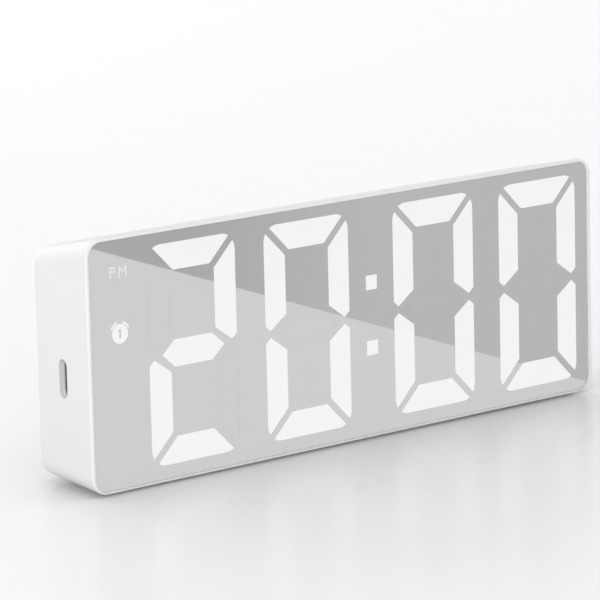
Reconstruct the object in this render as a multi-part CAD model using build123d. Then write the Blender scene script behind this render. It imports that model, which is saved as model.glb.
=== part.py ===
"""A white desk clock with lit seven-segment digits behind a half-mirror front, built from its real pieces.

Millimetres. X runs to the right of someone facing the clock, Y from the front to the back, and Z up.
The origin is on the table, under the middle of the case. Depth is counted back from the front of the rim,
and height from the lower edge of the rim.
"""
import math
import os

from build123d import *

# Case shell, which takes its width and height from the digits and its depth from what it holds
sign_margin = 17.8
right_margin = 5.15
upper_margin = 3.85
lower_margin = 3.95
corner_radius = 4.4
least_corner_radius = 1.0
side_draft = 2.4
top_draft = 4.9
bottom_draft = 0.9
front_edge_radius = 0.4
rear_edge_radius = 2.0
wall = 2.0
back_wall = 2.0
rim_width = 0.9
lower_rim = 0.5

# Front panel
lens_recess = 0.05
lens_thickness = 0.35
lens_gap = 0.05
film_thickness = 0.15
panel_clearance = 0.1
window_clearance = 0.02

# Seven-segment digits
digit_width = 26.2
digit_height = 52.2
digit_pitch = 35.0
colon_pitch = 40.5
stroke = 6.4
digit_corner_radius = 4.0
corner_gap = 1.75
middle_gap = 1.7
tip_inset = 1.5
tip_shoulder = 1.3
tip_slope = 3.5
middle_bar_inset = 3.9
middle_bar_tip = 3.6
colon_square = 3.5
colon_spread = 16.1
shown_digits = (2, 0, 0, 0)
lit_bars = {2: "abged", 0: "abcdef"}

# Signs beside the digits
sign_inset = 9.6
alarm_rise = 6.95
alarm_disc = 4.6
bell_gap = 0.2
bell_thickness = 0.5
bell_spread = 24.0
bell_centre = 40.0
numeral_width = 0.55
numeral_height = 2.2
pm_drop = 4.75
pm_tall = 2.7
pm_stroke = 0.42
p_wide = 1.7
m_wide = 2.4
letter_gap = 0.9

# Light box and circuit board
box_clearance = 0.2
box_depth = 7.8
diffuser_depth = 1.2
diffuser_clearance = 0.05
cell_step = 0.5
cell_depth = 5.4
led_hole_long = 3.4
led_hole_wide = 2.4
board_clearance = 0.8
board_thickness = 1.6
led_long = 2.0
led_wide = 1.25
led_tall = 0.7

# Screws
case_screw_inset = 2.9
sign_screw_gap = 3.6
case_screw_spread = 31.0
head_clearance = 0.3
well_wall = 0.8
well_floor = 3.0
screw_diameter = 2.2
screw_clearance = 0.4
pilot_clearance = 0.05
screw_head = 4.2
screw_head_tall = 1.5
case_screw_length = 8.5
board_screw_length = 5.5
recess_width = 0.6
recess_length = 2.6
recess_deep = 0.7
board_screw_inset = 5.3

# Battery bay for three AAA cells, and its hinged door
cell_diameter = 10.5
cell_length = 44.5
cell_count = 3
cell_room = 0.4
contact_room = 1.7
cell_cover_gap = 0.5
bay_screw_gap = 12.55
bay_drop = 3.95
bay_wall = 1.6
bay_floor = 1.0
bay_gap = 0.4
door_thickness = 1.5
door_recess = 0.1
door_seat_gap = 0.1
door_clearance = 0.2
door_side_ledge = 1.0
door_top_ledge = 1.2
hinge_inset = 1.0
hinge_swing = 1.0
hinge_room = 0.3
pin_radius = 0.6
pin_length = 1.2
pin_clearance = 0.05
pin_boss = 2.0
tongue_width = 10.0
tongue_height = 7.0
tongue_slot = 0.7
grip_count = 3
grip_pitch = 1.5
grip_width = 0.6
grip_deep = 0.35
scoop_radius = 5.0
scoop_deep = 1.0

# Battery contacts, soldered to the board through the bay's floor
contact_thickness = 0.4
contact_width = 6.0
contact_tall = 8.5
tail_width = 2.0
tail_clearance = 0.1
button_diameter = 3.6
button_tall = 0.8
leaf_reach = 1.1
leaf_foot = 2.4

# Keys in the back wall and their switches
key_names = ("set", "up", "down", "alarm")
key_screw_gap = 13.5
key_gap = 1.2
key_drop = 16.55
key_width = 8.0
key_tall = 5.0
key_corner = 1.4
key_edge_radius = 0.3
key_clearance = 0.2
key_below_back = 0.1
key_flange = 0.9
key_flange_thick = 0.9
key_flange_gap = 0.1
key_post = 4.0
key_post_length = 2.0
key_tray_margin = 2.0
key_tray_deep = 0.9
mark_size = 2.4
mark_deep = 0.25
switch_side = 6.0
switch_tall = 3.5
switch_stem = 3.4
switch_stem_clearance = 0.1
switch_well = 2.1
stem_in_well = 1.3

# Electronics on the back of the board: the chip and sounder are placed from the case screws on the left,
# and the small pieces from the chip
chip_screw_gap = 37.5
chip_drop = 8.95
chip_long = 10.3
chip_wide = 7.5
chip_tall = 2.3
lead_count = 8
lead_edge = 0.48
lead_width = 0.45
lead_reach = 1.3
lead_tall = 1.0
crystal_chip_gap = 15.0
crystal_rise = 9.0
crystal_diameter = 2.0
crystal_long = 6.0
capacitor_chip_gap = 16.0
capacitor_drop = 8.0
capacitor_diameter = 6.3
capacitor_tall = 7.7
vent_cut_width = 0.4
vent_cut_deep = 0.3
resistor_count = 6
resistor_chip_gap = 2.85
resistor_pitch = 2.6
resistor_rise = 1.0
resistor_long = 1.6
resistor_wide = 0.8
resistor_tall = 0.5
sounder_screw_gap = 18.5
sounder_drop = 12.95
sounder_diameter = 12.0
sounder_tall = 7.0
sounder_hole = 2.0
sounder_hole_deep = 2.0
sound_hole = 1.4
sound_hole_pitch = 2.8
sound_holes_round = 6

# USB-C inlet in the left side
usb_drop = 3.95
usb_long = 8.94
usb_wide = 3.26
usb_metal = 0.3
usb_body = 7.6
usb_below_side = 1.6
usb_slot_clearance = 0.12
usb_end = 0.6
tongue_long = 5.2
tongue_side_gap = 0.82
tongue_thick = 0.7
pad_count = 6
pad_edge = 0.6
pad_width = 0.5
pad_long = 3.6
pad_thick = 0.06

# Rubber feet
foot_front_gap = 0.5
foot_diameter = 9.0
foot_side_inset = 22.0
foot_edge_inset = 6.0

# Places across the clock that follow from the sizes above
digits_width = 2 * digit_pitch + colon_pitch + digit_width
case_width = sign_margin + digits_width + right_margin
case_height = lower_margin + digit_height + upper_margin
digit_middle = lower_margin + digit_height / 2
digit_top = lower_margin + digit_height
first_digit = -case_width / 2 + sign_margin + digit_width / 2
colon_x = first_digit + digit_pitch + colon_pitch / 2
digit_places = (
    first_digit,
    first_digit + digit_pitch,
    first_digit + digit_pitch + colon_pitch,
    first_digit + 2 * digit_pitch + colon_pitch,
)
sign_x = -case_width / 2 + sign_inset
alarm_height = digit_middle + alarm_rise
pm_height = digit_top - pm_drop
left_screw = first_digit - digit_width / 2 - sign_screw_gap
right_screw = digit_places[3] + digit_width / 2 - stroke - case_screw_inset
screw_rows = (digit_middle - case_screw_spread / 2, digit_middle + case_screw_spread / 2)
case_screw_places = [(x, z) for x in (left_screw, right_screw) for z in screw_rows]
between_first = first_digit + digit_pitch / 2
between_last = digit_places[3] - digit_pitch / 2
lower_board_screw = lower_margin + board_screw_inset
upper_board_screw = digit_top - board_screw_inset
board_screw_places = [
    (between_first, lower_board_screw),
    (between_first, upper_board_screw),
    (colon_x, upper_board_screw),
    (between_last, upper_board_screw),
]
key_first_x = left_screw + key_screw_gap
key_pitch = key_width + 2 * key_flange + key_gap
key_row = digit_top - key_drop
key_places = [(key_first_x + i * key_pitch, key_row) for i in range(len(key_names))]
sounder_x = left_screw + sounder_screw_gap
sounder_height = digit_middle - sounder_drop
chip_x = left_screw + chip_screw_gap
chip_height = digit_middle - chip_drop
lead_pitch = (chip_long - 2 * lead_edge - lead_width) / (lead_count - 1)
resistor_first_x = chip_x + chip_long / 2 + resistor_chip_gap
resistor_height = chip_height + resistor_rise
crystal_x = chip_x + crystal_chip_gap
crystal_height = chip_height + crystal_rise
capacitor_x = chip_x + capacitor_chip_gap
capacitor_height = chip_height - capacitor_drop
usb_height = digit_middle - usb_drop
tongue_wide = usb_long - 2 * usb_metal - 2 * tongue_side_gap
pad_pitch = (tongue_wide - 2 * pad_edge - pad_width) / (pad_count - 1)
well_bore = screw_head + 2 * head_clearance
well_outer = well_bore + 2 * well_wall
bay_length = cell_length + 2 * contact_room
bay_height = cell_count * (cell_diameter + cell_room)
bay_x = right_screw - bay_screw_gap - bay_length / 2
bay_middle = digit_middle - bay_drop
bay_bottom = bay_middle - bay_height / 2
bay_top = bay_middle + bay_height / 2
door_width = bay_length + 2 * door_side_ledge
door_top = bay_top + door_top_ledge
hinge_height = bay_bottom + hinge_swing + hinge_room

# Depths that follow from the sizes above, from the front of the rim to the back wall
lens_back = lens_recess + lens_thickness
film_front = lens_back + lens_gap
panel_seat = film_front + film_thickness
diffuser_back = panel_seat + diffuser_depth
cell_back = panel_seat + cell_depth
board_front = panel_seat + box_depth
board_back = board_front + board_thickness
usb_depth = board_back + usb_wide / 2
well_floor_back = board_back + well_floor
bay_floor_front = board_back + bay_gap
bay_floor_back = bay_floor_front + bay_floor
door_inside = bay_floor_back + cell_diameter + cell_cover_gap
pocket_floor = door_inside - door_seat_gap
door_outside = door_inside + door_thickness
hinge_depth = door_outside - hinge_inset
case_depth = door_outside + door_recess
back_inside = case_depth - back_wall
key_face = case_depth - key_below_back
flange_back = back_inside - key_flange_gap
flange_front = flange_back - key_flange_thick
stem_end = flange_front - key_post_length


# Ways to place a flat outline
def at_depth(depth):
    """The upright plane at a depth, with X across and height up."""
    return Plane(origin=(0, depth - case_depth / 2, foot_front_gap), x_dir=(1, 0, 0), z_dir=(0, -1, 0))


def at_side(x):
    """The upright plane across X, with depth across and height up."""
    return Plane(origin=(x, -case_depth / 2, foot_front_gap), x_dir=(0, 1, 0), z_dir=(1, 0, 0))


def slab(flat, near, far):
    """A flat outline drawn in X and height, filled from one depth to another."""
    return extrude(at_depth(near) * flat, amount=far - near, dir=(0, 1, 0))


def bar(flat, left, right):
    """A flat outline drawn in depth and height, filled from one X to another."""
    return extrude(at_side(left) * flat, amount=right - left, dir=(1, 0, 0))


def disc(x, height, diameter):
    return Pos(x, height) * Circle(diameter / 2)


def block(x, height, wide, tall):
    return Pos(x, height) * Rectangle(wide, tall)


# Case outlines
def side_at(depth):
    """Half the case's width at a depth."""
    return case_width / 2 - side_draft * depth / case_depth


def outline(depth, inset):
    """The case's outline at a depth, drawn in by an inset."""
    half = side_at(depth) - inset
    top = case_height - top_draft * depth / case_depth - inset
    bottom = bottom_draft * depth / case_depth + inset
    radius = max(corner_radius - inset, least_corner_radius)
    return Pos(0, (top + bottom) / 2) * RectangleRounded(2 * half, top - bottom, radius)


def panel_outline(gap):
    """The front opening inside the rim, drawn in by a gap."""
    half = case_width / 2 - rim_width - gap
    top = case_height - rim_width - gap
    bottom = lower_rim + gap
    radius = max(corner_radius - rim_width - gap, least_corner_radius)
    return Pos(0, (top + bottom) / 2) * RectangleRounded(2 * half, top - bottom, radius)


def tapered(near, far, inset):
    """The space between two depths, a steady inset inside the case's outside."""
    ends = [at_depth(near) * outline(near, inset), at_depth(far) * outline(far, inset)]
    return loft(ends, ruled=True)


# Digit segments
def turned(points, side, end):
    """Points drawn for the upper left of a digit, turned to one side and end, still listed anticlockwise."""
    moved = [(side * x, end * z) for x, z in points]
    return moved if side * end > 0 else moved[::-1]


def digit_outline():
    """The rounded rectangle that all the bars of a digit stay inside."""
    return RectangleRounded(digit_width, digit_height, digit_corner_radius)


def horizontal_bar(end):
    """The top or bottom bar of a digit, with its ends cut at 45 degrees."""
    cut = corner_gap / math.sqrt(2)
    half = digit_width / 2
    top = digit_height / 2
    points = [
        (half - cut, top),
        (-half + cut, top),
        (-half + cut + stroke, top - stroke),
        (half - cut - stroke, top - stroke),
    ]
    return Polygon(*turned(points, 1, end), align=None) & digit_outline()


def vertical_bar(side, end):
    """One of the four upright bars of a digit, pointed at the middle of the digit."""
    cut = corner_gap / math.sqrt(2)
    half = digit_width / 2
    top = digit_height / 2
    tip = middle_gap / 2
    points = [
        (half, top - cut),
        (half - stroke, top - cut - stroke),
        (half - stroke, tip + tip_slope),
        (half - tip_inset, tip),
        (half, tip + tip_shoulder),
    ]
    return Polygon(*turned(points, side, end), align=None) & digit_outline()


def middle_bar():
    """The middle bar of a digit, a long hexagon."""
    tip = digit_width / 2 - middle_bar_inset
    flat = tip - middle_bar_tip
    half = stroke / 2
    points = [(-tip, 0), (-flat, -half), (flat, -half), (tip, 0), (flat, half), (-flat, half)]
    return Polygon(*points, align=None)


def digit_bars():
    """The seven bars of a digit about its own middle, by their usual letters."""
    return {
        "a": horizontal_bar(1),
        "b": vertical_bar(1, 1),
        "c": vertical_bar(1, -1),
        "d": horizontal_bar(-1),
        "e": vertical_bar(-1, -1),
        "f": vertical_bar(-1, 1),
        "g": middle_bar(),
    }


def placed_bars(lit):
    """The outlines of all bars that are lit, or of all that aren't, in their places on the panel."""
    bars = digit_bars()
    found = []
    for x, number in zip(digit_places, shown_digits):
        for letter, flat in bars.items():
            if (letter in lit_bars[number]) == lit:
                found.append(Pos(x, digit_middle) * flat)
    return found


def colon_squares():
    heights = (digit_middle - colon_spread / 2, digit_middle + colon_spread / 2)
    return [block(colon_x, height, colon_square, colon_square) for height in heights]


# Signs
def bell(side):
    """One of the two bells on the alarm clock's sign, a short arc outside its disc."""
    inner = alarm_disc / 2 + bell_gap
    outer = inner + bell_thickness
    middle = 90 + side * bell_centre
    angles = (middle - bell_spread, middle + bell_spread)
    far = [(2 * outer * math.cos(math.radians(a)), 2 * outer * math.sin(math.radians(a))) for a in angles]
    ring = Circle(outer) - Circle(inner)
    return ring & Polygon((0, 0), *far, align=None)


def alarm_pieces():
    """The sign's disc, with the number 1 cut out of it, and its two bells."""
    numeral = Rectangle(numeral_width, numeral_height)
    flag_points = [(0, numeral_height / 2), (-2 * numeral_width, numeral_height / 4), (0, numeral_height / 4)]
    flag = Polygon(*flag_points, align=None)
    dial = Circle(alarm_disc / 2) - (numeral + flag)
    return [Pos(sign_x, alarm_height) * piece for piece in (dial, bell(-1), bell(1))]


def letter_p():
    """A plain capital P, with its left foot at the origin."""
    half_tall = pm_tall / 2
    stem = Pos(pm_stroke / 2, half_tall) * Rectangle(pm_stroke, pm_tall)
    bowl = Rectangle(p_wide, half_tall) - Rectangle(p_wide - 2 * pm_stroke, half_tall - 2 * pm_stroke)
    return stem + Pos(p_wide / 2, 3 * pm_tall / 4) * bowl


def letter_m():
    """A plain capital M, with its left foot at the origin."""
    middle = m_wide / 2
    valley = pm_tall / 2
    right = m_wide - pm_stroke
    shoulder = pm_tall - 2 * pm_stroke
    points = [
        (0, 0),
        (pm_stroke, 0),
        (pm_stroke, shoulder),
        (middle, valley - pm_stroke),
        (right, shoulder),
        (right, 0),
        (m_wide, 0),
        (m_wide, pm_tall),
        (right, pm_tall),
        (middle, valley + pm_stroke / 2),
        (pm_stroke, pm_tall),
        (0, pm_tall),
    ]
    return Polygon(*points, align=None)


def pm_pieces():
    total = p_wide + letter_gap + m_wide
    left = sign_x - total / 2
    low = pm_height - pm_tall / 2
    return [Pos(left, low) * letter_p(), Pos(left + p_wide + letter_gap, low) * letter_m()]


def grown(flat, amount):
    """An outline made larger all round, or smaller where the amount is negative."""
    return offset(flat, amount=amount, kind=Kind.INTERSECTION)


def all_bars():
    return placed_bars(True) + placed_bars(False) + colon_squares()


def sign_frames():
    """Plain openings in the light box, one behind each sign."""
    alarm_side = alarm_disc + 2 * (bell_gap + bell_thickness)
    pm_wide = p_wide + letter_gap + m_wide
    return [
        block(sign_x, alarm_height, alarm_side, alarm_side),
        block(sign_x, pm_height, pm_wide, pm_tall),
    ]


def light_places():
    """Where each LED sits: behind the middle of each bar, dot and sign, with its long side along the bar."""
    places = []
    for flat in all_bars() + sign_frames():
        size = flat.bounding_box().size
        middle = flat.center(CenterOf.MASS)
        places.append((middle.X, middle.Y, size.X < size.Y))
    return places


def led_outline(place, long_side, wide_side):
    x, height, upright = place
    if upright:
        return block(x, height, wide_side, long_side)
    return block(x, height, long_side, wide_side)


# Front panel pieces
def front_lens():
    return slab(panel_outline(panel_clearance), lens_recess, lens_back)


def mirror_film():
    sheet = slab(panel_outline(panel_clearance), film_front, panel_seat)
    flats = all_bars() + alarm_pieces() + pm_pieces()
    windows = [slab(grown(flat, window_clearance), film_front, panel_seat) for flat in flats]
    return sheet - windows


def diffusers(flats):
    """White diffusers that stand in the light box and reach through the film's windows."""
    return [slab(flat, film_front, diffuser_back) for flat in flats]


def signs(flats):
    """Thin signs in the film's windows, on the front of the light box."""
    return [slab(flat, film_front, panel_seat) for flat in flats]


# Light box and board
def light_box():
    body = tapered(panel_seat, board_front, wall + box_clearance)
    cuts = []
    for flat in all_bars():
        cuts.append(slab(grown(flat, diffuser_clearance), panel_seat, diffuser_back))
        cuts.append(slab(grown(flat, -cell_step), diffuser_back, cell_back))
    for place in light_places():
        cuts.append(slab(led_outline(place, led_hole_long, led_hole_wide), cell_back, board_front))
    for flat in sign_frames():
        cuts.append(slab(grown(flat, -cell_step), panel_seat, cell_back))
    pilot = screw_diameter + 2 * pilot_clearance
    case_pilot = well_floor_back - case_screw_length
    board_pilot = board_back - board_screw_length
    cuts += [slab(disc(x, z, pilot), case_pilot, board_front) for x, z in case_screw_places]
    cuts += [slab(disc(x, z, pilot), board_pilot, board_front) for x, z in board_screw_places]
    return body - cuts


def display_board():
    plate = slab(outline(board_back, wall + board_clearance), board_front, board_back)
    hole = screw_diameter + screw_clearance
    places = case_screw_places + board_screw_places
    return plate - [slab(disc(x, z, hole), board_front, board_back) for x, z in places]


def segment_leds():
    flats = [led_outline(place, led_long, led_wide) for place in light_places()]
    return [slab(flat, board_front - led_tall, board_front) for flat in flats]


# Screws
def screw(x, height, seat, length):
    """A pan-head screw with a cross recess, its head seated at a depth and its shank running to the front."""
    shank = slab(disc(x, height, screw_diameter), seat - length, seat)
    head = slab(disc(x, height, screw_head), seat, seat + screw_head_tall)
    cross = block(x, height, recess_length, recess_width) + block(x, height, recess_width, recess_length)
    recess = slab(cross, seat + screw_head_tall - recess_deep, seat + screw_head_tall)
    return shank + head - recess


def case_screws():
    return [screw(x, z, well_floor_back, case_screw_length) for x, z in case_screw_places]


def board_screws():
    return [screw(x, z, board_back, board_screw_length) for x, z in board_screw_places]


# Rear shell
def screw_wells():
    return [slab(disc(x, z, well_outer), board_back, back_inside) for x, z in case_screw_places]


def screw_well_cuts():
    clear = screw_diameter + screw_clearance
    bores = [slab(disc(x, z, well_bore), well_floor_back, case_depth) for x, z in case_screw_places]
    return bores + [slab(disc(x, z, clear), board_back, well_floor_back) for x, z in case_screw_places]


def bay_box():
    """The battery bay's walls and floor."""
    wide = bay_length + 2 * bay_wall
    tall = bay_height + 2 * bay_wall
    return slab(block(bay_x, bay_middle, wide, tall), bay_floor_front, back_inside)


def hinge_bosses():
    """Blocks behind the back wall that hold the door's two pivot holes."""
    left = bay_x - door_width / 2 - door_clearance
    right = bay_x + door_width / 2 + door_clearance
    middle = (hinge_depth + back_inside) / 2 - pin_boss / 2
    flat = Pos(middle, hinge_height) * Rectangle(pin_boss, 2 * pin_boss)
    reach = pin_length + pin_boss / 2
    return [bar(flat, left - reach, left), bar(flat, right, right + reach)]


def bay_cuts():
    """The bay's inside, the door's pocket, the room that its foot swings in, its pivot holes and a scoop."""
    pocket_wide = door_width + 2 * door_clearance
    pocket_top = door_top + door_clearance
    pocket_tall = pocket_top - bay_bottom
    inside = slab(block(bay_x, bay_middle, bay_length, bay_height), bay_floor_back, case_depth)
    pocket_flat = block(bay_x, (pocket_top + bay_bottom) / 2, pocket_wide, pocket_tall)
    pocket = slab(pocket_flat, pocket_floor, case_depth)
    swing = hinge_swing + hinge_room
    swing_flat = block(bay_x, hinge_height, pocket_wide, 2 * swing)
    swing_room = slab(swing_flat, hinge_depth - swing, case_depth)
    pivot = Pos(hinge_depth, hinge_height) * Circle(pin_radius + pin_clearance)
    half = door_width / 2 + door_clearance + pin_length
    pivots = bar(pivot, bay_x - half, bay_x + half)
    scoop = slab(disc(bay_x, door_top, 2 * scoop_radius), case_depth - scoop_deep, case_depth)
    return [inside, pocket, swing_room, pivots, scoop] + tail_slots()


def key_cuts():
    """The shallow tray round the keys and the hole for each key."""
    last_x = key_places[-1][0]
    wide = last_x - key_first_x + key_width + 2 * key_tray_margin
    tall = key_tall + 2 * key_tray_margin
    middle = (key_first_x + last_x) / 2
    flat = Pos(middle, key_row) * RectangleRounded(wide, tall, key_corner + key_tray_margin)
    tray = slab(flat, case_depth - key_tray_deep, case_depth)
    hole = RectangleRounded(key_width + 2 * key_clearance, key_tall + 2 * key_clearance, key_corner)
    return [tray] + [slab(Pos(x, z) * hole, back_inside, case_depth) for x, z in key_places]


def sound_holes():
    """Small round holes in the back wall, one in the middle and a ring about it."""
    places = [(0.0, 0.0)]
    for i in range(sound_holes_round):
        turn = 2 * math.pi * i / sound_holes_round
        places.append((sound_hole_pitch * math.cos(turn), sound_hole_pitch * math.sin(turn)))
    flats = [disc(sounder_x + x, sounder_height + z, sound_hole) for x, z in places]
    return [slab(flat, back_inside, case_depth) for flat in flats]


def usb_outline(grow):
    """The USB-C socket's outline in depth and height, a slot on end."""
    return Pos(usb_depth, usb_height) * SlotOverall(usb_long + 2 * grow, usb_wide + 2 * grow, rotation=90)


def usb_cut():
    return bar(usb_outline(usb_slot_clearance), -case_width / 2, -case_width / 2 + usb_body)


def rear_shell():
    body = tapered(0, case_depth, 0)
    body = fillet(body.faces().sort_by(Axis.Y)[-1].edges(), rear_edge_radius)
    body = fillet(body.faces().sort_by(Axis.Y)[0].edges(), front_edge_radius)
    body -= slab(panel_outline(0), 0, panel_seat)
    body -= tapered(panel_seat, back_inside, wall)
    body += screw_wells() + [bay_box()] + hinge_bosses()
    cuts = screw_well_cuts() + bay_cuts() + key_cuts() + sound_holes() + [usb_cut()]
    return body - cuts


# Battery door and contacts
def battery_door():
    """The door plate, rounded about its hinge, with two pivot pins, a sprung tongue and grip grooves."""
    plate_tall = door_top - hinge_height
    thick_middle = (door_inside + door_outside) / 2
    upper = Pos(thick_middle, hinge_height + plate_tall / 2) * Rectangle(door_thickness, plate_tall)
    band = Pos(thick_middle, hinge_height) * Rectangle(door_thickness, 2 * hinge_swing)
    foot = band & (Pos(hinge_depth, hinge_height) * Circle(hinge_swing))
    half = door_width / 2
    door = bar(upper + foot, bay_x - half, bay_x + half)
    pin = Pos(hinge_depth, hinge_height) * Circle(pin_radius)
    door += bar(pin, bay_x - half - pin_length, bay_x - half)
    door += bar(pin, bay_x + half, bay_x + half + pin_length)
    return door - tongue_cuts()


def tongue_cuts():
    """The slots on both sides of the sprung tongue, and the grooves that a finger grips."""
    middle = door_top - tongue_height / 2
    outer = block(bay_x, middle, tongue_width + 2 * tongue_slot, tongue_height)
    inner = block(bay_x, middle, tongue_width, tongue_height)
    slots = slab(outer - inner, door_inside, door_outside)
    first = middle - (grip_count - 1) * grip_pitch / 2
    heights = [first + i * grip_pitch for i in range(grip_count)]
    flats = [block(bay_x, height, tongue_width - 2 * grip_pitch, grip_width) for height in heights]
    return [slots] + [slab(flat, door_outside - grip_deep, door_outside) for flat in flats]


def cell_heights():
    """The heights of the cells' middles in the bay."""
    pitch = cell_diameter + cell_room
    return [bay_bottom + pitch * (i + 0.5) for i in range(cell_count)]


def tail_slots():
    """Slots in the bay's floor that the contacts' tails pass through."""
    slots = []
    for end in (-1, 1):
        x = bay_x + end * (bay_length / 2 - contact_thickness / 2)
        for height in cell_heights():
            flat = block(x, height, contact_thickness + 2 * tail_clearance, tail_width + 2 * tail_clearance)
            slots.append(slab(flat, bay_floor_front, bay_floor_back))
    return slots


def contact_plate(end, height):
    """A plate standing on the bay's floor against its end wall, with a tail down to the board."""
    x = bay_x + end * (bay_length / 2 - contact_thickness / 2)
    top = bay_floor_back + contact_tall
    plate = slab(block(x, height, contact_thickness, contact_width), bay_floor_back, top)
    tail = slab(block(x, height, contact_thickness, tail_width), board_back, bay_floor_back)
    return plate + tail


def polarity(index):
    """Which end of the bay a cell's positive cap faces: the cells lie head to tail."""
    return 1 if index % 2 == 0 else -1


def positive_contacts():
    """Plates with a raised round button for the cells' caps."""
    made = []
    for i, height in enumerate(cell_heights()):
        end = polarity(i)
        face = bay_x + end * (bay_length / 2 - contact_thickness)
        flat = Pos(bay_floor_back + cell_diameter / 2, height) * Circle(button_diameter / 2)
        tip = face - end * button_tall
        button = bar(flat, min(face, tip), max(face, tip))
        made.append(contact_plate(end, height) + button)
    return made


def negative_contacts():
    """Plates with a bent leaf that presses on the cells' flat ends."""
    made = []
    for i, height in enumerate(cell_heights()):
        end = -polarity(i)
        face = bay_x + end * (bay_length / 2 - contact_thickness)
        top = bay_floor_back + contact_tall
        middle = bay_floor_back + cell_diameter / 2
        thick = end * contact_thickness
        points = [
            (face, top),
            (face - end * leaf_reach, middle),
            (face, middle - leaf_foot),
            (face, middle - leaf_foot + contact_thickness * 2),
            (face - end * leaf_reach + thick, middle),
            (face, top - contact_thickness * 2),
        ]
        leaf = Polygon(*[(x, depth) for x, depth in points], align=None)
        low = foot_front_gap + height - contact_width / 2
        ground = Plane(origin=(0, -case_depth / 2, low), x_dir=(1, 0, 0), z_dir=(0, 0, 1))
        made.append(contact_plate(end, height) + extrude(ground * leaf, amount=contact_width, dir=(0, 0, 1)))
    return made


# Keys and switches
def key_mark(name):
    """The plain sign sunk into a key: a dot, two arrowheads and a bell."""
    half = mark_size / 2
    arrow = [(-half, -half), (half, -half), (0, half)]
    if name == "up":
        return Polygon(*arrow, align=None)
    if name == "down":
        return Polygon(*turned(arrow, 1, -1), align=None)
    if name == "alarm":
        dome = Circle(half) & (Pos(0, half) * Rectangle(mark_size, mark_size))
        return dome + Pos(0, -half / 2) * Rectangle(mark_size, half)
    return Circle(half)


def key(name, x, height):
    """A key: its cap in the back wall's hole, a flange that keeps it in, and a post onto its switch."""
    cap = RectangleRounded(key_width, key_tall, key_corner)
    flange = RectangleRounded(key_width + 2 * key_flange, key_tall + 2 * key_flange, key_corner)
    place = Pos(x, height)
    solid = slab(place * cap, flange_front, key_face)
    solid = fillet(solid.faces().sort_by(Axis.Y)[-1].edges(), key_edge_radius)
    solid += slab(place * flange, flange_front, flange_back)
    solid += slab(disc(x, height, key_post), stem_end, flange_front)
    return solid - slab(place * key_mark(name), key_face - mark_deep, key_face)


def switch_bodies():
    """Square switch housings on the board, each with a well for its stem."""
    bodies = []
    top = board_back + switch_tall
    bore = switch_stem + 2 * switch_stem_clearance
    for x, z in key_places:
        housing = slab(block(x, z, switch_side, switch_side), board_back, top)
        bodies.append(housing - slab(disc(x, z, bore), top - switch_well, top))
    return bodies


def switch_stem_solid(x, height):
    start = board_back + switch_tall - stem_in_well
    return slab(disc(x, height, switch_stem), start, stem_end)


# Electronics
def clock_chip():
    return slab(block(chip_x, chip_height, chip_long, chip_wide), board_back, board_back + chip_tall)


def chip_leads():
    """The chip's two rows of legs, from its sides down to the board."""
    legs = []
    first = chip_x - (lead_count - 1) * lead_pitch / 2
    for side in (-1, 1):
        height = chip_height + side * (chip_wide + lead_reach) / 2
        for i in range(lead_count):
            flat = block(first + i * lead_pitch, height, lead_width, lead_reach)
            legs.append(slab(flat, board_back, board_back + lead_tall))
    return legs


def clock_crystal():
    flat = Pos(board_back + crystal_diameter / 2, crystal_height) * Circle(crystal_diameter / 2)
    return bar(flat, crystal_x - crystal_long / 2, crystal_x + crystal_long / 2)


def supply_capacitor():
    """A round can with the cross that is scored in its top."""
    top = board_back + capacitor_tall
    can = slab(disc(capacitor_x, capacitor_height, capacitor_diameter), board_back, top)
    long_cut = block(capacitor_x, capacitor_height, capacitor_diameter / 2, vent_cut_width)
    short_cut = block(capacitor_x, capacitor_height, vent_cut_width, capacitor_diameter / 2)
    return can - slab(long_cut + short_cut, top - vent_cut_deep, top)


def chip_resistors():
    places = [resistor_first_x + i * resistor_pitch for i in range(resistor_count)]
    flats = [block(x, resistor_height, resistor_wide, resistor_long) for x in places]
    return [slab(flat, board_back, board_back + resistor_tall) for flat in flats]


def sounder():
    top = board_back + sounder_tall
    can = slab(disc(sounder_x, sounder_height, sounder_diameter), board_back, top)
    return can - slab(disc(sounder_x, sounder_height, sounder_hole), top - sounder_hole_deep, top)


# USB-C socket
def usb_mouth():
    """Where the socket's open end stands, a little inside the left side."""
    return -side_at(usb_depth) + usb_below_side


def usb_socket_shell():
    left = usb_mouth()
    right = left + usb_body
    tube = bar(usb_outline(0), left, right)
    return tube - bar(usb_outline(-usb_metal), left, right - usb_end)


def usb_socket_tongue():
    right = usb_mouth() + usb_body - usb_end
    flat = Pos(usb_depth, usb_height) * Rectangle(tongue_thick, tongue_wide)
    return bar(flat, right - tongue_long, right)


def usb_contacts():
    """Rows of flat contacts on both faces of the tongue."""
    right = usb_mouth() + usb_body - usb_end
    pads = []
    for side in (-1, 1):
        depth = usb_depth + side * (tongue_thick + pad_thick) / 2
        for i in range(pad_count):
            height = usb_height + (i - (pad_count - 1) / 2) * pad_pitch
            flat = Pos(depth, height) * Rectangle(pad_thick, pad_width)
            pads.append(bar(flat, right - pad_long, right))
    return pads


# Feet
def rubber_feet():
    """Round pads that level the drafted underside on the table."""
    case = tapered(0, case_depth, 0)
    feet = []
    tall = foot_front_gap + bottom_draft
    foot_x = case_width / 2 - foot_side_inset
    for x in (-foot_x, foot_x):
        for depth in (foot_edge_inset, case_depth - foot_edge_inset):
            place = Pos(x, depth - case_depth / 2, tall / 2)
            feet.append(place * Cylinder(foot_diameter / 2, tall) - case)
    return feet


def write(name, shape):
    """Writes one piece, or a group of like pieces, as the node of that name."""
    whole = Compound(children=list(shape)) if isinstance(shape, list) else shape
    export_step(whole, f"parts/{name}.step")
    print(name, len(whole.solids()), round(whole.volume, 2))


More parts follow.
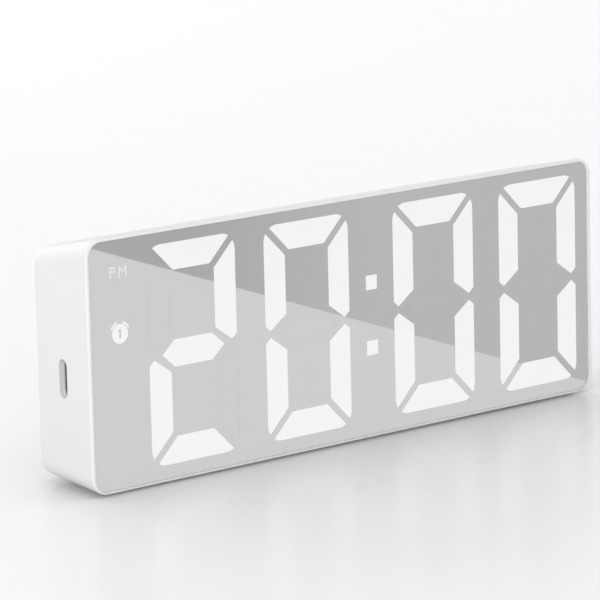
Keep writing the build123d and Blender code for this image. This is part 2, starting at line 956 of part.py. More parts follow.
def main():
    os.makedirs("parts", exist_ok=True)
    write("rear_shell", rear_shell())
    write("front_lens", front_lens())
    write("mirror_film", mirror_film())
    write("lit_segments", diffusers(placed_bars(True)))
    write("unlit_segments", diffusers(placed_bars(False)))
    write("colon_windows", diffusers(colon_squares()))
    write("alarm_sign", signs(alarm_pieces()))
    write("pm_sign", signs(pm_pieces()))
    write("light_box", light_box())
    write("display_board", display_board())
    write("segment_leds", segment_leds())
    write("case_screws", case_screws())
    write("board_screws", board_screws())
    write("battery_door", battery_door())
    write("positive_contacts", positive_contacts())
    write("negative_contacts", negative_contacts())
    for name, (x, height) in zip(key_names, key_places):
        write(f"{name}_key", key(name, x, height))
        write(f"{name}_switch_stem", switch_stem_solid(x, height))
    write("switch_bodies", switch_bodies())
    write("clock_chip", clock_chip())
    write("chip_leads", chip_leads())
    write("clock_crystal", clock_crystal())
    write("supply_capacitor", supply_capacitor())
    write("chip_resistors", chip_resistors())
    write("sounder", sounder())
    write("usb_socket_shell", usb_socket_shell())
    write("usb_socket_tongue", usb_socket_tongue())
    write("usb_contacts", usb_contacts())
    write("rubber_feet", rubber_feet())


main()
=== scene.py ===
# %% [markdown]
# # A desk clock with a half-mirror front
# Every piece of this clock already has its real shape, size and place, so this lesson is about how it looks.
# We load the pieces, set up the camera, and then give each piece the finish of what it is made of. A few
# small marks are modelled after that, and a plain table and soft light complete the picture. Blender works in
# metres here, so a size in millimetres is multiplied by MM.

# %% Load the clock
import math

import bmesh
import bpy
from mathutils import Matrix, Vector


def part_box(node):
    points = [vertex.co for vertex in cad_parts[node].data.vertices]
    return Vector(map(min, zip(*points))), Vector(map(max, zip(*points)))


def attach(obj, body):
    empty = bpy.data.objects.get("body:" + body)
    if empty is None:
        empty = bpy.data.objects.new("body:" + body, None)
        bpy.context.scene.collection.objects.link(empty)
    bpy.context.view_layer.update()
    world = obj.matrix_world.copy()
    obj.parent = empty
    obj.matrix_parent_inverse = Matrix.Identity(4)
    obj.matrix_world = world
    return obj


MM = 0.001
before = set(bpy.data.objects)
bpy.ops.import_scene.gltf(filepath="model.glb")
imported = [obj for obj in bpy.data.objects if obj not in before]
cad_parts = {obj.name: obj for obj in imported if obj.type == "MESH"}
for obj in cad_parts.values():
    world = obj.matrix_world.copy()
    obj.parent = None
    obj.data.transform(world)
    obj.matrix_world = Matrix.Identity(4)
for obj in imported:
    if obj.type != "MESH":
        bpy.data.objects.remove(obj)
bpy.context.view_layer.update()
case_low, case_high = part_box("rear_shell")
case_size = (case_high - case_low) / MM
print("pieces:", len(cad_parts), "case in mm:", [round(side, 1) for side in case_size])

# %% [markdown]
# ## Colour handling
# Blender can bend bright colours towards film-like tones. A product picture should show a colour as it is
# written, so the plain Standard view is used.

# %% Plain colours
bpy.context.scene.view_settings.view_transform = "Standard"
print("view:", bpy.context.scene.view_settings.view_transform)

# %% [markdown]
# ## Camera
# The clock is seen from its front left and a little above, with a long lens, so its edges stay nearly
# parallel. A camera can be aimed with a constraint or by hand. Three turns are clearest here: the camera
# starts by looking straight down, is tipped up to the horizon less its pitch, is swung to the right by its
# yaw, and leans a little.

# %% Place the camera
CAMERA_PLACE_MM = (-603.15, -712.54, 217.51)
CAMERA_YAW_DEG = 39.937
CAMERA_PITCH_DEG = 11.137
CAMERA_LEAN_DEG = -1.422
LENS_MM = 235.13

lens = bpy.data.cameras.new("front_left_camera")
lens.lens = LENS_MM
camera = bpy.data.objects.new("front_left_camera", lens)
swing = Matrix.Rotation(math.radians(-CAMERA_YAW_DEG), 4, "Z")
tip = Matrix.Rotation(math.radians(90 - CAMERA_PITCH_DEG), 4, "X")
lean = Matrix.Rotation(math.radians(CAMERA_LEAN_DEG), 4, "Z")
camera.matrix_world = Matrix.Translation(Vector(CAMERA_PLACE_MM) * MM) @ swing @ tip @ lean
bpy.context.scene.collection.objects.link(camera)
bpy.context.scene.camera = camera
print("camera at", [round(value, 3) for value in camera.matrix_world.translation], "lens", lens.lens)

# %% [markdown]
# ## Tools for the finishes
# Colours are written as the hex values that a paint program shows. Shaders need them in linear light, so one
# function turns them. A second small function adds a shader node: it sets the node's properties, and fills
# each input with a value or with a link from another node.


# %% Colours and nodes
def linear(code):
    """The linear colour, with full opacity, of a hex value such as "#F0F0EF"."""
    parts = [int(code[i:i + 2], 16) / 255 for i in (1, 3, 5)]
    return [part / 12.92 if part <= 0.04045 else ((part + 0.055) / 1.055) ** 2.4 for part in parts] + [1.0]


def add(tree, kind, inputs, **settings):
    """Adds one node, sets its properties, and fills its inputs with values or with links from sockets."""
    made = tree.nodes.new("ShaderNode" + kind)
    for name, value in settings.items():
        setattr(made, name, value)
    for socket, value in inputs.items():
        if isinstance(value, bpy.types.NodeSocket):
            tree.links.new(value, made.inputs[socket])
        else:
            made.inputs[socket].default_value = value
    return made


def per(size_mm):
    """The scale at which a texture repeats about once in a real size."""
    return 1 / (size_mm * MM)


print("mid grey #808080 is", round(linear("#808080")[0], 3), "in linear light")

# %% [markdown]
# ## What real surfaces share
# No moulded or plated surface is quite even. Its colour drifts a little over some distance, its gloss varies
# with its grain, and the grain has a small height. These three are used by nearly every finish below, so each
# is a function. They read Object coordinates, which are metres in the clock's own frame, so a grain of 0.4 mm
# is 0.4 mm on every piece. Sharp edges of real mouldings are slightly round, and the Bevel node adds that to
# the shading.

# %% Start a finish, then drift its colour, gloss and height
MIX_FACTOR, MIX_FROM, MIX_TO, MIX_COLOUR = 0, 6, 7, 2
NOISE_LOW, NOISE_HIGH = 0.3, 0.7


def new_finish(name, sockets):
    """A material with fixed sockets: itself, its tree, its Principled node and its Object coordinates."""
    material = bpy.data.materials.new(name)
    material.use_nodes = True
    tree = material.node_tree
    surface = tree.nodes["Principled BSDF"]
    for socket, value in sockets.items():
        surface.inputs[socket].default_value = value
    return material, tree, surface, add(tree, "TexCoord", {}).outputs["Object"]


def drift_colour(tree, surface, place, patch_mm, light, dark, socket="Base Color"):
    """Lets a colour wander between two tones over patches of a real size."""
    patches = add(tree, "TexNoise", {"Vector": place, "Scale": per(patch_mm), "Detail": 2.0})
    tones = {MIX_FACTOR: patches.outputs[0], MIX_FROM: linear(light), MIX_TO: linear(dark)}
    tree.links.new(add(tree, "Mix", tones, data_type="RGBA").outputs[MIX_COLOUR], surface.inputs[socket])


def drift_gloss(tree, surface, place, patch_mm, low, high):
    """Lets the roughness wander between two values, over which the usual range of a noise is spread."""
    patches = add(tree, "TexNoise", {"Vector": place, "Scale": per(patch_mm), "Detail": 3.0})
    values = {"Value": patches.outputs[0], "From Min": NOISE_LOW, "From Max": NOISE_HIGH}
    spread = add(tree, "MapRange", {**values, "To Min": low, "To Max": high})
    tree.links.new(spread.outputs[0], surface.inputs["Roughness"])


def raise_grain(tree, surface, place, grain_mm, height_mm, edge_mm=0.0):
    """Gives the surface a fine grain of a real height, and its sharp edges a small radius in the shading."""
    grain = add(tree, "TexNoise", {"Vector": place, "Scale": per(grain_mm), "Detail": 2.0})
    inputs = {"Height": grain.outputs[0], "Distance": height_mm * MM, "Strength": 1.0}
    if edge_mm:
        inputs["Normal"] = add(tree, "Bevel", {"Radius": edge_mm * MM}, samples=6).outputs[0]
    tree.links.new(add(tree, "Bump", inputs).outputs[0], surface.inputs["Normal"])


finishes = {}
print("three ways to vary a surface are ready")

# %% [markdown]
# ## White case
# The shell and the battery door are injection-moulded ABS. The mould was spark eroded, which leaves a fine
# even grain: the white looks satin, and lamps show in it as wide soft glows. A real grain is about 0.1 mm,
# too fine to show from here, so it is drawn at 0.35 mm.

# %% Spark-eroded white ABS
ABS_GRAIN_MM = 0.35
ABS_RELIEF_MM = 0.006
ABS_EDGE_MM = 0.25

white_abs, tree, surface, place = new_finish("spark_eroded_white_abs", {"IOR": 1.53})
drift_colour(tree, surface, place, patch_mm=30, light="#F2F2F1", dark="#EDEDEC")
drift_gloss(tree, surface, place, ABS_GRAIN_MM, low=0.40, high=0.52)
raise_grain(tree, surface, place, ABS_GRAIN_MM, ABS_RELIEF_MM, ABS_EDGE_MM)
for node in ("rear_shell", "battery_door"):
    finishes[node] = white_abs
print(white_abs.name, "on the shell and the door")

# %% [markdown]
# ## Keys
# The four keys are moulded in the same ABS from a smoother mould, so they are a little glossier, and one tone
# greyer so that a finger finds them. Their signs are sunk into the caps.

# %% Smooth grey-white ABS
KEYS = ("set", "up", "down", "alarm")

key_abs, tree, surface, place = new_finish("smooth_key_abs", {"IOR": 1.53})
drift_colour(tree, surface, place, patch_mm=6, light="#DEDEDD", dark="#D8D8D7")
drift_gloss(tree, surface, place, patch_mm=0.6, low=0.28, high=0.36)
raise_grain(tree, surface, place, grain_mm=0.6, height_mm=0.003, edge_mm=0.3)
for key in KEYS:
    finishes[key + "_key"] = key_abs
print(key_abs.name, "on", len(KEYS), "keys")

# %% [markdown]
# ## Clear cover
# A thin sheet of cast acrylic covers the whole front. Glass shading would bend every ray twice to show almost
# nothing, so the sheet is simply very transparent, with a polished face.

# %% Polished clear acrylic
clear_acrylic, tree, surface, place = new_finish("polished_clear_acrylic", {"IOR": 1.49, "Alpha": 0.04})
drift_colour(tree, surface, place, patch_mm=40, light="#FBFCFC", dark="#F4F6F6")
drift_gloss(tree, surface, place, patch_mm=12, low=0.03, high=0.06)
finishes["front_lens"] = clear_acrylic
print(clear_acrylic.name, "alpha", surface.inputs["Alpha"].default_value)

# %% [markdown]
# ## Half mirror
# The film behind the cover is coated with a few nanometres of metal. It sends back part of the light and lets
# the segments shine through, so the front is a grey mirror. Metal shading gives this, with a mid-grey colour
# and a low roughness that wanders a little, as on any film that was laid by hand. Segments that are off lie
# behind the same coating, so they take the same finish and can't be told from the film.

# %% Half-silvered film
half_mirror, tree, surface, place = new_finish("half_silvered_film", {"Metallic": 1.0})
drift_colour(tree, surface, place, patch_mm=50, light="#D2D2D2", dark="#CFCFCF")
drift_gloss(tree, surface, place, patch_mm=25, low=0.010, high=0.016)
for node in ("mirror_film", "unlit_segments"):
    finishes[node] = half_mirror
print(half_mirror.name, "on the film and the dark segments")

# %% [markdown]
# ## Lit segments
# Each segment is a block of milky acrylic with a lamp behind it. Enough white pigment spreads the light, so
# the face is evenly bright from edge to edge. A body that glows on its own is an emission colour in the same
# shader. The strength stays just under 1, where white would clip. The small PM sign is lit more weakly.

# %% Milky lit acrylic
TIME_GLOW = 0.875
PM_GLOW = 0.72


def milky_lit(name, strength):
    """A white diffuser that glows by itself, a little unevenly."""
    material, tree, surface, place = new_finish(name, {"IOR": 1.49, "Emission Strength": strength})
    surface.inputs["Base Color"].default_value = linear("#2A2A2A")
    drift_colour(tree, surface, place, patch_mm=9, light="#FFFFFF", dark="#FAFAFA", socket="Emission Color")
    drift_gloss(tree, surface, place, patch_mm=5, low=0.15, high=0.22)
    return material


lit_acrylic = milky_lit("milky_lit_acrylic", TIME_GLOW)
for node in ("lit_segments", "colon_windows", "alarm_sign"):
    finishes[node] = lit_acrylic
finishes["pm_sign"] = milky_lit("milky_dim_acrylic", PM_GLOW)
print(lit_acrylic.name, "on the time, the colon and the alarm sign")

# %% [markdown]
# ## Light box
# Behind the panel, a block of white polystyrene keeps each lamp's light in its own cell. It is moulded matt,
# so that it scatters light instead of showing the lamp.

# %% Matt white polystyrene
polystyrene, tree, surface, place = new_finish("matt_white_polystyrene", {"IOR": 1.59})
drift_colour(tree, surface, place, patch_mm=15, light="#F4F3EF", dark="#ECEBE6")
drift_gloss(tree, surface, place, patch_mm=0.5, low=0.55, high=0.7)
raise_grain(tree, surface, place, grain_mm=0.5, height_mm=0.01)
finishes["light_box"] = polystyrene
print(polystyrene.name, "on the light box")

# %% [markdown]
# ## Circuit board
# The board is woven glass in epoxy under a green solder mask. The weave shows through as a fine square
# relief, and the copper tracks below the mask as paler lines. A brick pattern gives the tracks, and two
# crossed waves the weave.

# %% Solder-masked glass epoxy
WEAVE_MM = 0.8
WEAVE_RELIEF_MM = 0.01
TRACK_MM = 2.54

board, tree, surface, place = new_finish("solder_masked_glass_epoxy", {"IOR": 1.55, "Roughness": 0.34})
upright = add(tree, "Mapping", {"Vector": place, "Rotation": (math.radians(90), 0, 0)}).outputs[0]
tracks = {
    "Vector": upright, "Scale": per(TRACK_MM), "Mortar Size": 0.08, "Brick Width": 6.0, "Row Height": 1.0,
    "Color1": linear("#14532F"), "Color2": linear("#17572F"), "Mortar": linear("#2B7A45"),
}
tree.links.new(add(tree, "TexBrick", tracks).outputs[0], surface.inputs["Base Color"])
across = add(tree, "TexWave", {"Vector": place, "Scale": per(WEAVE_MM) / math.tau}, bands_direction="X")
along = add(tree, "TexWave", {"Vector": place, "Scale": per(WEAVE_MM) / math.tau}, bands_direction="Z")
weave = add(tree, "Math", {0: across.outputs[1], 1: along.outputs[1]}, operation="MULTIPLY")
bump = add(tree, "Bump", {"Height": weave.outputs[0], "Distance": WEAVE_RELIEF_MM * MM})
tree.links.new(bump.outputs[0], surface.inputs["Normal"])
finishes["display_board"] = board
print(board.name, "weave", WEAVE_MM, "mm, tracks", TRACK_MM, "mm apart")

# %% [markdown]
# ## Plain moulded and cast pieces
# Many small pieces are one material each and differ only in colour, gloss and grain, so a table and a loop
# make them. Each row starts from the real material: the chip is cast epoxy filled with silica, switch
# housings are glass nylon, their stems acetal, the sounder a moulded can, the USB tongue a black
# liquid-crystal polymer, and the feet soft silicone rubber, which is matt and a little dusty.

# %% Plastics and rubber
# Each row: pieces, light and dark tone, patch mm, least and most roughness, grain mm and its height mm
PLASTICS = {
    "cast_black_epoxy": (("clock_chip",), "#1D1D1F", "#252528", 2, 0.45, 0.6, 0.3, 0.008),
    "thick_film_resistor": (("chip_resistors",), "#18181A", "#2A2A2C", 0.7, 0.2, 0.35, 0.3, 0.004),
    "glass_filled_black_nylon": (("switch_bodies",), "#1A1A1A", "#232323", 3, 0.4, 0.55, 0.25, 0.008),
    "dark_acetal": ([key + "_switch_stem" for key in KEYS], "#2B2B2C", "#333334", 3, 0.25, 0.35, 0.4, 0.002),
    "moulded_black_sounder": (("sounder",), "#161616", "#1E1E1E", 4, 0.35, 0.5, 0.3, 0.006),
    "black_liquid_crystal_polymer": (("usb_socket_tongue",), "#1B1B1C", "#232324", 1, 0.35, 0.45, 0.2, 0.003),
    "led_housing": (("segment_leds",), "#F5F0D8", "#EFE6BE", 0.8, 0.2, 0.3, 0.3, 0.002),
    "silicone_rubber": (("rubber_feet",), "#8E8E8C", "#82827F", 3, 0.65, 0.85, 0.3, 0.012),
}
for name, (nodes, light, dark, patch_mm, low, high, grain_mm, height_mm) in PLASTICS.items():
    material, tree, surface, place = new_finish(name, {"IOR": 1.5})
    drift_colour(tree, surface, place, patch_mm, light, dark)
    drift_gloss(tree, surface, place, grain_mm, low, high)
    raise_grain(tree, surface, place, grain_mm, height_mm, ABS_EDGE_MM)
    for node in nodes:
        finishes[node] = material
    print(name, "on", ", ".join(nodes))

# %% [markdown]
# ## Plated metal
# The screws are zinc-plated steel, the battery contacts and the USB shell nickel plate, the chip's legs and
# the crystal's can tinned, the capacitor drawn aluminium, and the USB contacts gold. Plating takes the colour
# of its metal and keeps the fine lines of the sheet below, so each is a metal whose gloss is stretched into
# streaks. The streaks come from noise on coordinates that are squeezed along one direction.

# %% Metals with rolled or drawn streaks
# Each row: pieces, light and dark tone, least and most roughness, and the stretch along x, y and z
METALS = {
    "zinc_plated_steel": (("case_screws", "board_screws"), "#C6C8CC", "#B2B5BB", 0.25, 0.42, (1, 6, 1)),
    "nickel_plated_strip": (
        ("positive_contacts", "negative_contacts"), "#CFCBC2", "#BDB9AF", 0.16, 0.32, (1, 1, 8),
    ),
    "nickel_plated_shell": (("usb_socket_shell",), "#D9D8D5", "#CCCBC8", 0.45, 0.58, (8, 1, 1)),
    "tinned_copper": (("chip_leads", "clock_crystal"), "#C9C9CA", "#B8B8BA", 0.3, 0.45, (1, 1, 1)),
    "drawn_aluminium": (("supply_capacitor",), "#CDCED0", "#BFC0C3", 0.3, 0.42, (1, 8, 1)),
    "gold_plated_copper": (("usb_contacts",), "#E3BC6A", "#D3A850", 0.15, 0.25, (6, 1, 1)),
}
STREAK_MM = 0.4
STREAK_RELIEF_MM = 0.003
METAL_PATCH_MM = 3
METAL_EDGE_MM = 0.1
for name, (nodes, light, dark, low, high, stretch) in METALS.items():
    material, tree, surface, place = new_finish(name, {"Metallic": 1.0})
    squeeze = [1 / part for part in stretch]
    streaks = add(tree, "Mapping", {"Vector": place, "Scale": squeeze}).outputs[0]
    drift_colour(tree, surface, place, METAL_PATCH_MM, light, dark)
    drift_gloss(tree, surface, streaks, STREAK_MM, low, high)
    raise_grain(tree, surface, streaks, STREAK_MM, STREAK_RELIEF_MM, METAL_EDGE_MM)
    for node in nodes:
        finishes[node] = material
    print(name, "on", ", ".join(nodes))

# %% [markdown]
# ## Put the finishes on
# Each CAD piece keeps its mesh and gets its finish in its material slot. A piece without a finish would show
# as flat grey, so the loop also counts what is left.

# %% Dress every piece
for node, finish in finishes.items():
    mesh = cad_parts[node].data
    mesh.materials.clear()
    mesh.materials.append(finish)
left_bare = set(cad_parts) - set(finishes)
print("dressed", len(finishes), "of", len(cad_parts), "pieces, left:", left_bare)

# %% [markdown]
# ## Paint in the key signs
# The signs are sunk a quarter of a millimetre into the keys, and a dark paint is wiped into them so that they
# read. Each fill is a thin plate that lies on the floor of its sign and rides on its key. A dot and a bell
# start from a circle and an arrowhead from three corners; the plate is drawn flat, extruded, and stood up to
# face backwards.

# %% Fill the signs
SIGN_MM = 2.4
SIGN_DEEP_MM = 0.25
PAINT_GAP_MM = 0.06
PAINT_THICK_MM = 0.1
CIRCLE_STEPS = 48
LEVEL_SHARE = 0.01
FACE_BACK = Matrix(((-1, 0, 0), (0, 0, 1), (0, 1, 0))).to_4x4()

sign_paint, tree, surface, place = new_finish("wiped_grey_enamel", {"IOR": 1.5})
drift_colour(tree, surface, place, patch_mm=1.5, light="#4A4B4D", dark="#3E3F41")
drift_gloss(tree, surface, place, patch_mm=0.4, low=0.3, high=0.45)


def add_piece(name, shape, body, material):
    """Turns a finished bmesh into a piece that rides on a body."""
    bmesh.ops.recalc_face_normals(shape, faces=shape.faces)
    mesh = bpy.data.meshes.new(name)
    shape.to_mesh(mesh)
    shape.free()
    mesh.materials.append(material)
    made = bpy.data.objects.new(name, mesh)
    bpy.context.scene.collection.objects.link(made)
    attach(made, body)
    return made


def raise_flat(shape, height):
    """Gives a flat outline a thickness towards +Z, and returns its upper faces."""
    grown = bmesh.ops.extrude_face_region(shape, geom=shape.faces[:])["geom"]
    corners = [item for item in grown if isinstance(item, bmesh.types.BMVert)]
    bmesh.ops.translate(shape, verts=corners, vec=(0, 0, height))
    return [item for item in grown if isinstance(item, bmesh.types.BMFace)]


def sign_outline(key, half):
    """A key's sign, drawn flat: a dot to set, arrowheads up and down, and a bell for the alarm."""
    shape = bmesh.new()
    if key in ("up", "down"):
        end = half if key == "up" else -half
        corners = ((-half, -end, 0), (half, -end, 0), (0, end, 0))
        shape.faces.new([shape.verts.new(corner) for corner in corners])
        return shape
    bmesh.ops.create_circle(shape, cap_ends=True, segments=CIRCLE_STEPS, radius=half)
    if key == "alarm":
        # A bell is a circle whose lower half is brought down to a flat edge
        for corner in shape.verts:
            if corner.co.y <= -LEVEL_SHARE * half:
                corner.co.y = -half
    return shape


for key in KEYS:
    key_low, key_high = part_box(key + "_key")
    shape = sign_outline(key, (SIGN_MM / 2 - PAINT_GAP_MM) * MM)
    raise_flat(shape, PAINT_THICK_MM * MM)
    middle = (key_low + key_high) / 2
    floor_of_sign = Vector((middle.x, key_high.y - SIGN_DEEP_MM * MM, middle.z))
    shape.transform(Matrix.Translation(floor_of_sign) @ FACE_BACK)
    made = add_piece(key + "_sign_paint", shape, key + "_key", sign_paint)
    print(made.name, len(made.data.polygons), "faces")

# %% [markdown]
# ## Moulded marks in the battery bay
# The floor of the bay shows how the cells go in: an outline for each cell, and a plus and a minus at its
# ends. On the real case these are cut into the mould, so they stand out of the same white plastic. Grids give
# the signs: a grid of five by five squares, of which the middle row, or the middle row and column, is kept.

# %% Raise the marks
MARK_MM = 3.0
MARK_SQUARES = 5
MARK_TALL_MM = 0.3
MARK_EDGE_MM = 0.08
OUTLINE_LONG_MM, OUTLINE_WIDE_MM = 40.0, 9.2
OUTLINE_LINE_MM = 0.5
SIGN_INSET_MM = 6.5
CELL_PITCH_MM = 10.9
BAY_FLOOR_BACK_MM = 12.6

bay_floor = case_high.y - BAY_FLOOR_BACK_MM * MM


def stand_marks(name, shape, x, z):
    """Extrudes flat marks, rounds their upper edges a little, and sets them on the bay's floor."""
    top = raise_flat(shape, MARK_TALL_MM * MM)
    rim = {edge for face in top for edge in face.edges if sum(other in top for other in edge.link_faces) == 1}
    bmesh.ops.bevel(
        shape, geom=list(rim), offset=MARK_EDGE_MM * MM, segments=2, profile=0.5, affect="EDGES", material=-1,
    )
    shape.transform(Matrix.Translation((x, bay_floor, z)) @ FACE_BACK)
    return add_piece(name, shape, "case", white_abs)


def sign_grid(upright):
    """A minus, or a plus where an upright stroke is wanted, from a grid of five by five squares."""
    shape = bmesh.new()
    bmesh.ops.create_grid(shape, x_segments=MARK_SQUARES, y_segments=MARK_SQUARES, size=MARK_MM / 2 * MM)
    half_line = MARK_MM / (2 * MARK_SQUARES) * MM
    spare = []
    for face in shape.faces:
        middle = face.calc_center_median()
        in_stroke = abs(middle.y) < half_line or (upright and abs(middle.x) < half_line)
        if not in_stroke:
            spare.append(face)
    bmesh.ops.delete(shape, geom=spare, context="FACES")
    return shape


def cell_outline():
    """The outline of one lying cell: a rectangle, inset once, without its middle."""
    shape = bmesh.new()
    bmesh.ops.create_grid(shape, x_segments=1, y_segments=1, size=0.5)
    bmesh.ops.scale(shape, verts=shape.verts, vec=(OUTLINE_LONG_MM * MM, OUTLINE_WIDE_MM * MM, 1))
    middle = shape.faces[:]
    bmesh.ops.inset_region(
        shape, faces=middle, thickness=OUTLINE_LINE_MM * MM, use_boundary=True, use_even_offset=True,
    )
    bmesh.ops.delete(shape, geom=middle, context="FACES")
    return shape


contact_low, contact_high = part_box("positive_contacts")
bay_middle = (contact_low + contact_high) / 2
contact_points = [corner.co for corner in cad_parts["positive_contacts"].data.vertices]
cell_pitch = CELL_PITCH_MM * MM
sign_way = (OUTLINE_LONG_MM / 2 - SIGN_INSET_MM) * MM
for row in (-1, 0, 1):
    z = bay_middle.z + row * cell_pitch
    ends = [point.x - bay_middle.x for point in contact_points if abs(point.z - z) < cell_pitch / 2]
    plus_side = math.copysign(1, sum(ends))
    number = str(row + 2)
    stand_marks("cell_outline_" + number, cell_outline(), bay_middle.x, z)
    stand_marks("plus_mark_" + number, sign_grid(True), bay_middle.x + plus_side * sign_way, z)
    stand_marks("minus_mark_" + number, sign_grid(False), bay_middle.x - plus_side * sign_way, z)
    print("cell", number, "has its plus at", "left" if plus_side > 0 else "right", "seen from behind")

# %% [markdown]
# ## Table
# The clock stands on a plain pale table with a faint polish. Its own colour is nearly white, and a little
# glow that only the camera and mirrors see lifts it to the white of a studio, while the clock's shadow stays.
# A table is darkest where a thing stands close to it, and that shade is painted here: an Ambient Occlusion
# node darkens the table's colour there. The main lamp will stand at the left, so this painted shade is made
# deeper towards the right end of the clock.

# %% Pale table
TABLE_SIZE = 6.0
TABLE_GLOW = 0.105
SHADE_REACH_MM = 150
SHADE_FROM, SHADE_TO = 0.42, 0.95


def seen_directly(tree):
    """1 for rays from the camera and for mirrored or transmitted ones, 0 for rays that only bring light."""
    path = add(tree, "LightPath", {}).outputs
    bent = {0: path["Is Glossy Ray"], 1: path["Is Transmission Ray"]}
    mirrored = add(tree, "Math", bent, operation="MAXIMUM")
    both = {0: path["Is Camera Ray"], 1: mirrored.outputs[0]}
    return add(tree, "Math", both, operation="MAXIMUM").outputs[0]


def flat_piece(name, corners, material):
    """A flat stage piece through a few corners, in metres, whose face looks up."""
    shape = bmesh.new()
    face = shape.faces.new([shape.verts.new(corner) for corner in corners])
    face.normal_update()
    if face.normal.z < 0:
        face.normal_flip()
    mesh = bpy.data.meshes.new(name)
    shape.to_mesh(mesh)
    shape.free()
    mesh.materials.append(material)
    made = bpy.data.objects.new(name, mesh)
    bpy.context.scene.collection.objects.link(made)
    return made


table_paint, tree, surface, place = new_finish("pale_table", {"IOR": 1.45})
# Painted shade: the table's colour is darkened near the clock, and more towards its right end
openness = add(tree, "AmbientOcclusion", {"Distance": SHADE_REACH_MM * MM}, samples=8).outputs["AO"]
along = add(tree, "SeparateXYZ", {0: place}).outputs[0]
ends = add(tree, "MapRange", {"Value": along, "From Min": case_low.x, "From Max": case_high.x}).outputs[0]
shades = {MIX_FACTOR: ends, MIX_FROM: linear("#C6C6C8"), MIX_TO: linear("#A0A0A2")}
shade = add(tree, "Mix", shades, data_type="RGBA").outputs[MIX_COLOUR]
light = add(tree, "MapRange", {"Value": openness, "From Min": SHADE_FROM, "From Max": SHADE_TO}).outputs[0]
tones = {MIX_FACTOR: light, MIX_FROM: shade, MIX_TO: linear("#F5F5F6")}
tree.links.new(add(tree, "Mix", tones, data_type="RGBA").outputs[MIX_COLOUR], surface.inputs["Base Color"])
drift_gloss(tree, surface, place, patch_mm=60, low=0.22, high=0.25)
glow = add(tree, "Math", {0: seen_directly(tree), 1: TABLE_GLOW}, operation="MULTIPLY").outputs[0]
surface.inputs["Emission Color"].default_value = linear("#FFFFFF")
tree.links.new(glow, surface.inputs["Emission Strength"])
half = TABLE_SIZE / 2
flat_piece("table", [(-half, -half, 0), (half, -half, 0), (half, half, 0), (-half, half, 0)], table_paint)
print("table", TABLE_SIZE, "m square")

# %% [markdown]
# ## What the mirror sees
# From this camera, the half mirror shows the table in front of the clock. Two boards lie there, a white one
# and a grey one, and only mirrors see them. Their common edge shows on the front as the slanting line between
# its two tones. To find the edge, a sight line is followed from the camera to the mirror, turned there, and
# carried on to the table: a mirrored line is the straight line from the camera's mirror image.

# %% Lay the two boards
LINE_DROP_LEFT_MM = 0.8
LINE_SLOPE = 0.357
BOARD_LIFT = 0.05 * MM
BOARD_REACH = 0.9
BOARD_FAR = 1.2

film_low, film_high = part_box("mirror_film")
camera_place = camera.matrix_world.translation
mirror_image = Vector((camera_place.x, 2 * film_low.y - camera_place.y, camera_place.z))


def on_table(x, z):
    """Where the sight line that is turned at a point of the mirror meets the table."""
    turned_at = Vector((x, film_low.y, z))
    way = turned_at - mirror_image
    return turned_at - way * (turned_at.z / way.z)


line_left = film_high.z - LINE_DROP_LEFT_MM * MM
line_right = line_left - LINE_SLOPE * (film_high.x - film_low.x)
far_end = on_table(film_low.x, line_left)
near_end = on_table(film_high.x, line_right)
run = (far_end - near_end) / (near_end.y - far_end.y)
edge_near = near_end + run * (near_end.y - film_low.y)
edge_far = near_end + run * BOARD_FAR
print("edge on the table from", [round(v, 3) for v in edge_near], "to", [round(v, 3) for v in edge_far])

# %% [markdown]
# The white board is even. The grey one is a little darker towards the left of the mirror, so its tone follows
# the mirror's own left-to-right direction, which on the table runs along the line from the camera's mirror
# image. Both are clear from below, or the polished table would mirror their undersides.

# %% Paint the two boards
WHITE_BOARD = 0.975
GREY_LEFT, GREY_RIGHT = 0.57, 0.715


def glowing(name, strength):
    """A material that glows above, with a strength that a texture or a value gives, and is clear below."""
    material = bpy.data.materials.new(name)
    material.use_nodes = True
    tree = material.node_tree
    tree.nodes.remove(tree.nodes["Principled BSDF"])
    from_below = add(tree, "NewGeometry", {}).outputs["Backfacing"]
    shine = add(tree, "Emission", {"Strength": strength(tree)}).outputs[0]
    clear = add(tree, "BsdfTransparent", {}).outputs[0]
    two_sided = add(tree, "MixShader", {0: from_below, 1: shine, 2: clear}).outputs[0]
    tree.links.new(two_sided, tree.nodes["Material Output"].inputs["Surface"])
    return material


def grey_tone(tree):
    """The grey board's tone, from the mirror's left end to its middle."""
    place = add(tree, "TexCoord", {}).outputs["Object"]
    slant = -mirror_image.x / (mirror_image.y - film_low.y)
    across = add(tree, "VectorMath", {0: place, 1: (1, slant, 0)}, operation="DOT_PRODUCT").outputs["Value"]
    ends = {"Value": across, "From Min": film_low.x, "From Max": 0.0}
    return add(tree, "MapRange", {**ends, "To Min": GREY_LEFT, "To Max": GREY_RIGHT}).outputs[0]


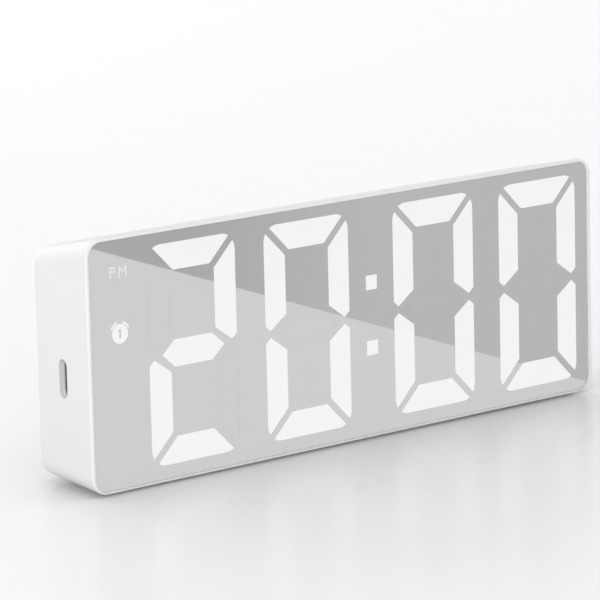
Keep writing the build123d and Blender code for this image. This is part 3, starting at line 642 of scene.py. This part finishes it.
sides = {
    "white_board": (-BOARD_REACH, glowing("white_board", lambda tree: WHITE_BOARD)),
    "grey_board": (BOARD_REACH, glowing("grey_board", grey_tone)),
}
for name, (side_x, material) in sides.items():
    corners = [edge_near, edge_far, Vector((side_x, edge_far.y, 0)), Vector((side_x, edge_near.y, 0))]
    made = flat_piece(name, [corner + Vector((0, 0, BOARD_LIFT)) for corner in corners], material)
    made.visible_camera = False
    made.visible_diffuse = False
    made.visible_transmission = False
    made.visible_shadow = False
print("boards:", ", ".join(sides))

# %% [markdown]
# ## Light
# An even sky of soft white light fills the shadows, as a tent of white cloth does in a product studio. One
# large soft lamp stands low at the front left, so the left side and the front are the brightest faces and the
# top is a tone darker. A weaker one behind keeps the back from going dull. A lamp of P watts at a distance d
# makes a white face that looks at it as bright as P / (pi d)^2, so the watts are worked out from the
# brightness that each should give.

# %% Sky and lamps
SKY_LIGHT = 0.70
SKY_SEEN = 1.0
LAMP_FAR = 1.4
LAMP_SIZE = 0.9
# Each lamp: the way to it from the clock, and the brightness that it gives
LAMPS = {
    "front_soft_box": ((-0.76, -0.60, 0.23), 0.44),
    "back_soft_box": ((0.05, 0.92, 0.32), 0.20),
}

world = bpy.data.worlds.new("white_tent")
world.use_nodes = True
bpy.context.scene.world = world
sky = world.node_tree
levels = {"Value": seen_directly(sky), "To Min": SKY_LIGHT, "To Max": SKY_SEEN}
strength = add(sky, "MapRange", levels).outputs[0]
sky.links.new(strength, sky.nodes["Background"].inputs["Strength"])
sky.nodes["Background"].inputs["Color"].default_value = linear("#FFFFFF")

for name, (way, brightness) in LAMPS.items():
    lamp = bpy.data.lights.new(name, "AREA")
    lamp.size = LAMP_SIZE
    lamp.energy = brightness * (math.pi * LAMP_FAR) ** 2
    made = bpy.data.objects.new(name, lamp)
    made.location = Vector(way).normalized() * LAMP_FAR
    made.rotation_euler = Vector(way).to_track_quat("Z", "Y").to_euler()
    bpy.context.scene.collection.objects.link(made)
    print(name, round(lamp.energy, 1), "W at", [round(v, 2) for v in made.location])
